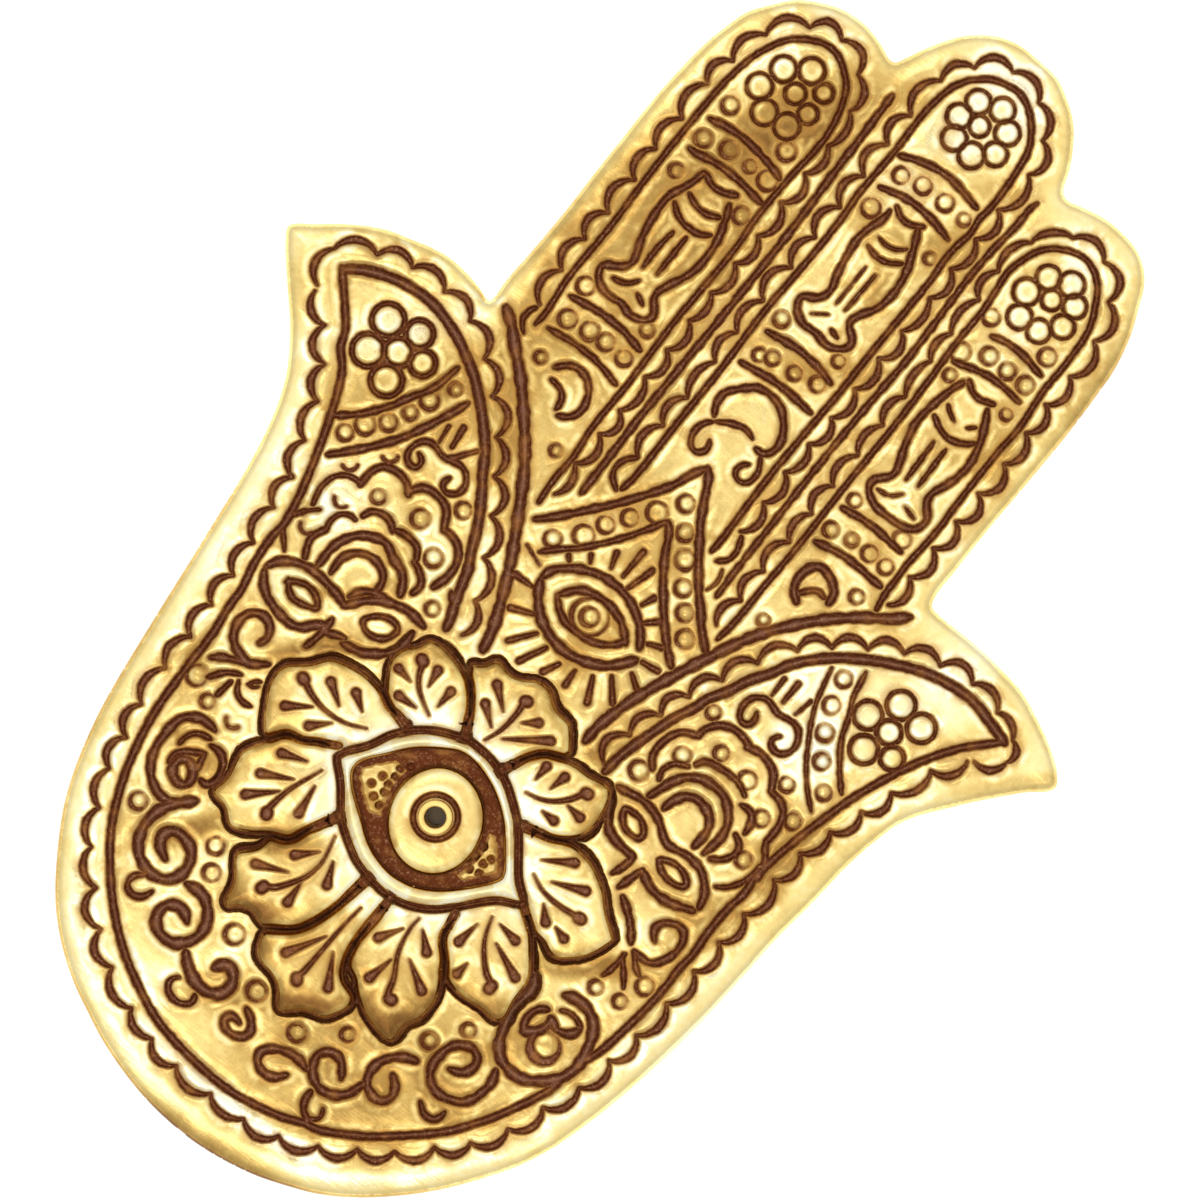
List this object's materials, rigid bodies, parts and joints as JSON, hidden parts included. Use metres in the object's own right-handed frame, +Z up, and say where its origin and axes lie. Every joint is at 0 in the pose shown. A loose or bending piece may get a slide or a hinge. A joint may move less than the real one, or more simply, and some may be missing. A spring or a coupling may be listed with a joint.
{
  "type": "incense holder",
  "caption": "Hand-shaped cast brass plate with a raised lotus and an eye whose pierced pupil holds an incense stick upright, standing on felt feet",
  "frame": {"origin": "on the table, under the middle of the plate's outline", "axes": "+Y towards the fingers, +Z up out of the palm, +X to the right when the fingers point away from the viewer"},
  "size_m": [0.0904, 0.1306, 0.0066],
  "materials": {
    "plate_brass": "cast brass, satin-polished on the high surfaces, dark brown patina in every engraved line",
    "rivet_brass": "drawn brass, lightly polished, dulled on the back",
    "felt": "dark brown pressed wool felt"
  },
  "bodies": {
    "root": {"hand_plate": "plate_brass", "lotus_boss": "plate_brass", "eyelid_ring": "plate_brass", "iris_dome": "plate_brass", "stick_socket": "rivet_brass", "back_washer": "rivet_brass", "foot_pad_palm_left": "felt", "foot_pad_palm_right": "felt", "foot_pad_finger_left": "felt", "foot_pad_finger_right": "felt"}
  },
  "joints": []
}
